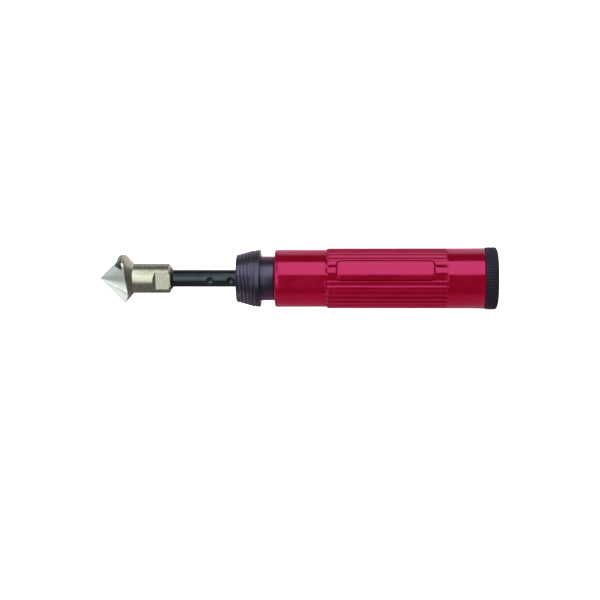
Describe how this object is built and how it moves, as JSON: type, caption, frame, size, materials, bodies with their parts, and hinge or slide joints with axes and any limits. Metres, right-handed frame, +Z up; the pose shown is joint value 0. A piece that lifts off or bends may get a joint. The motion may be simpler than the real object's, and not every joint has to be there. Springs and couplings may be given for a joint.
{
  "type": "deburring tool",
  "caption": "Hand countersink deburring tool: cone cutter on a telescopic black shaft, flared release collar, ribbed red hollow handle, knurled screw cap.",
  "frame": {"origin": "bottom centre of the bounding box at rest; the tool lies with its axis level, 12.76 mm up", "axes": "+X from the cutter's tip to the cap, +Z up, the grip's label panel faces -Y"},
  "size_m": [0.1636, 0.0254, 0.0255],
  "materials": {
    "tool_steel": "ground",
    "black_steel": "black oxide",
    "bright_steel": "bright",
    "spring_steel": "bright",
    "brass": "turned",
    "black_nylon": "satin",
    "black_rubber": "matt",
    "red_plastic": "gloss"
  },
  "bodies": {
    "handle": {"handle_shell": "red_plastic", "nose_sleeve": "black_nylon", "guide_bush": "brass", "drag_oring": "black_rubber", "gland_ring": "bright_steel", "collar_stop_ring": "spring_steel", "spring_seat": "bright_steel", "sleeve_nut": "brass", "cap_insert": "brass", "collar_spring": "spring_steel"},
    "holder": {"countersink": "tool_steel", "holder_shaft": "black_steel", "tail_stop": "bright_steel", "tail_screw": "bright_steel"},
    "collar": {"release_collar": "black_nylon"},
    "ball": {"lock_ball": "bright_steel"},
    "cap_ring": {"cap_oring": "black_rubber"},
    "cap": {"end_cap": "black_nylon"}
  },
  "joints": [
    {"name": "holder_slide", "type": "slide", "parent": "handle", "child": "holder", "axis": [-1, 0, 0], "range_m": [-0.0166, 0.0415]},
    {"name": "collar_slide", "type": "slide", "parent": "handle", "child": "collar", "axis": [1, 0, 0], "range_m": [0, 0.004], "stiffness_N_per_m": 900, "springref_m": -0.004, "deforming": ["collar_spring"]},
    {"name": "ball_lift", "type": "slide", "parent": "handle", "child": "ball", "axis": [0, -0.9751, -0.2215], "range_m": [0, 0.00075]},
    {"name": "cap_advance", "type": "slide", "parent": "handle", "child": "cap_ring", "axis": [1, 0, 0], "range_m": [0, 0.006]},
    {"name": "cap_turn", "type": "hinge", "parent": "cap_ring", "child": "cap", "pos_m": [0.0761, 0, 0.01276], "axis": [1, 0, 0], "range_deg": [0, 1440]}
  ],
  "couplings": [
    {"joint": "ball_lift", "follows": "collar_slide", "ratio": 0.1875},
    {"joint": "cap_turn", "follows": "cap_advance", "rad_per_m": 4188.8}
  ]
}
